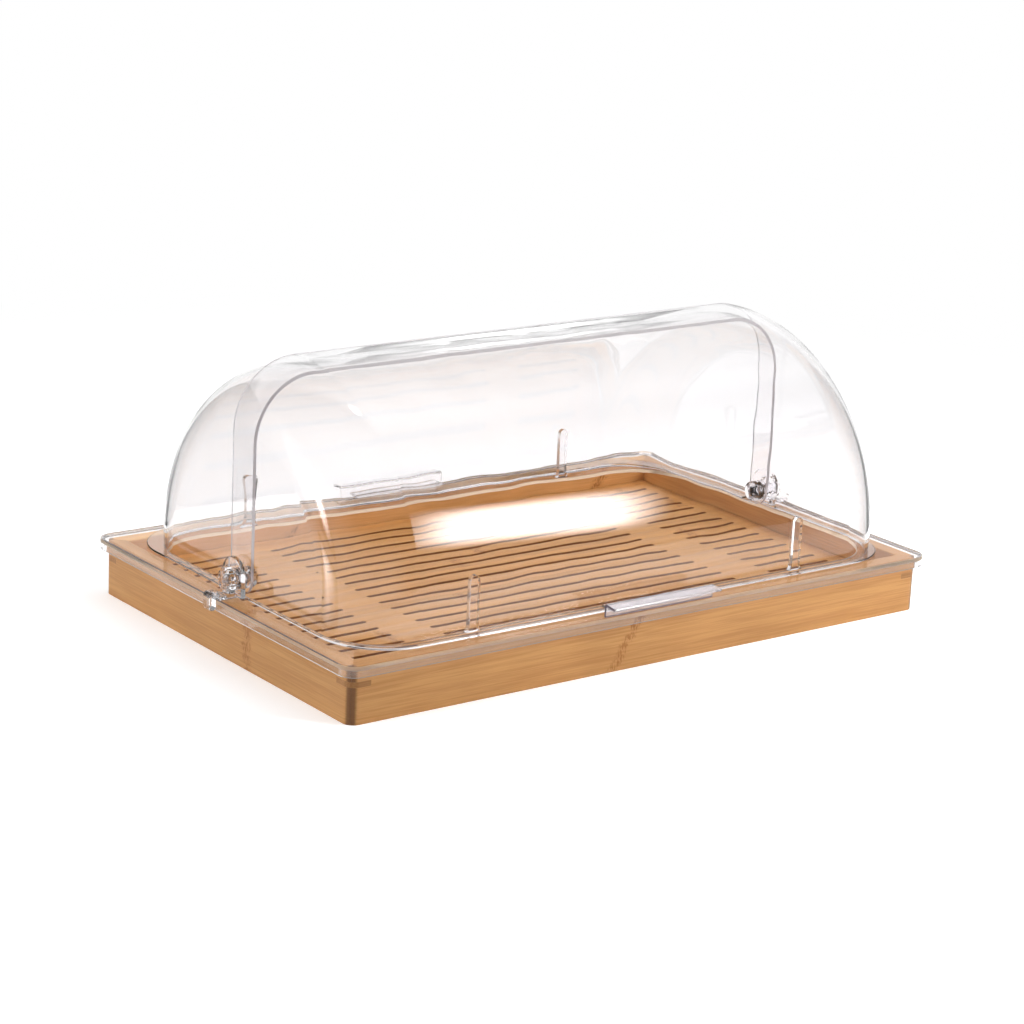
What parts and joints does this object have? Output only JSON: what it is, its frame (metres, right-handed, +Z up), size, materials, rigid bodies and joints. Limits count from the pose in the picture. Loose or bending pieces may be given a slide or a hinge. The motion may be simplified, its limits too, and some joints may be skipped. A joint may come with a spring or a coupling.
{
  "type": "display_tray_with_roll_top_cover",
  "caption": "Rectangular bamboo serving tray with a slotted crumb board under a clear two-leaf roll-top cover that pivots open from the front and from the rear",
  "frame": {"origin": "centre of the tray's underside, on the surface it rests on", "axes": "+X runs along the long side, to the right of a person facing the front; -Y is the front, the side people are served from; +Z is up"},
  "size_m": [0.5538, 0.368, 0.2145],
  "materials": {
    "bamboo": "satin_lacquered_bamboo",
    "dark_bamboo": "satin_lacquered_bamboo",
    "clear_cover": "clear_polished"
  },
  "bodies": {
    "tray": {"tray_rear_wall": "bamboo", "tray_left_wall": "bamboo", "tray_front_wall": "bamboo", "tray_right_wall": "bamboo", "mitre_key_front_left": "dark_bamboo", "mitre_key_rear_left": "dark_bamboo", "mitre_key_front_right": "dark_bamboo", "mitre_key_rear_right": "dark_bamboo", "tray_bottom_panel": "bamboo", "board_ledge_front": "bamboo", "board_ledge_rear": "bamboo", "board_ledge_left": "bamboo", "board_ledge_right": "bamboo"},
    "board": {"slotted_board": "bamboo"},
    "lid_frame": {"cover_frame": "clear_cover", "post_front_left": "clear_cover", "post_front_right": "clear_cover", "post_rear_left": "clear_cover", "post_rear_right": "clear_cover", "right_clip_bracket": "clear_cover", "right_pivot_pin": "clear_cover", "right_pivot_knob": "clear_cover", "right_pivot_cap": "clear_cover", "right_inner_spacer": "clear_cover", "right_outer_spacer": "clear_cover", "left_clip_bracket": "clear_cover", "left_pivot_pin": "clear_cover", "left_pivot_knob": "clear_cover", "left_pivot_cap": "clear_cover", "left_inner_spacer": "clear_cover", "left_outer_spacer": "clear_cover"},
    "front_lid": {"front_cover": "clear_cover", "front_grip": "clear_cover"},
    "rear_lid": {"rear_cover": "clear_cover", "rear_grip": "clear_cover"}
  },
  "joints": [
    {"name": "front_cover_roll", "type": "hinge", "parent": "lid_frame", "child": "front_lid", "pos_m": [0, 0, 0.056], "axis": [-1, 0, 0], "range_deg": [0, 39]},
    {"name": "rear_cover_roll", "type": "hinge", "parent": "lid_frame", "child": "rear_lid", "pos_m": [0, 0, 0.056], "axis": [1, 0, 0], "range_deg": [0, 39]},
    {"name": "frame_lift", "type": "slide", "parent": "tray", "child": "lid_frame", "axis": [0, 0, 1], "range_m": [0, 0.12]},
    {"name": "board_lift", "type": "slide", "parent": "tray", "child": "board", "axis": [0, 0, 1], "range_m": [0, 0.0155]}
  ]
}
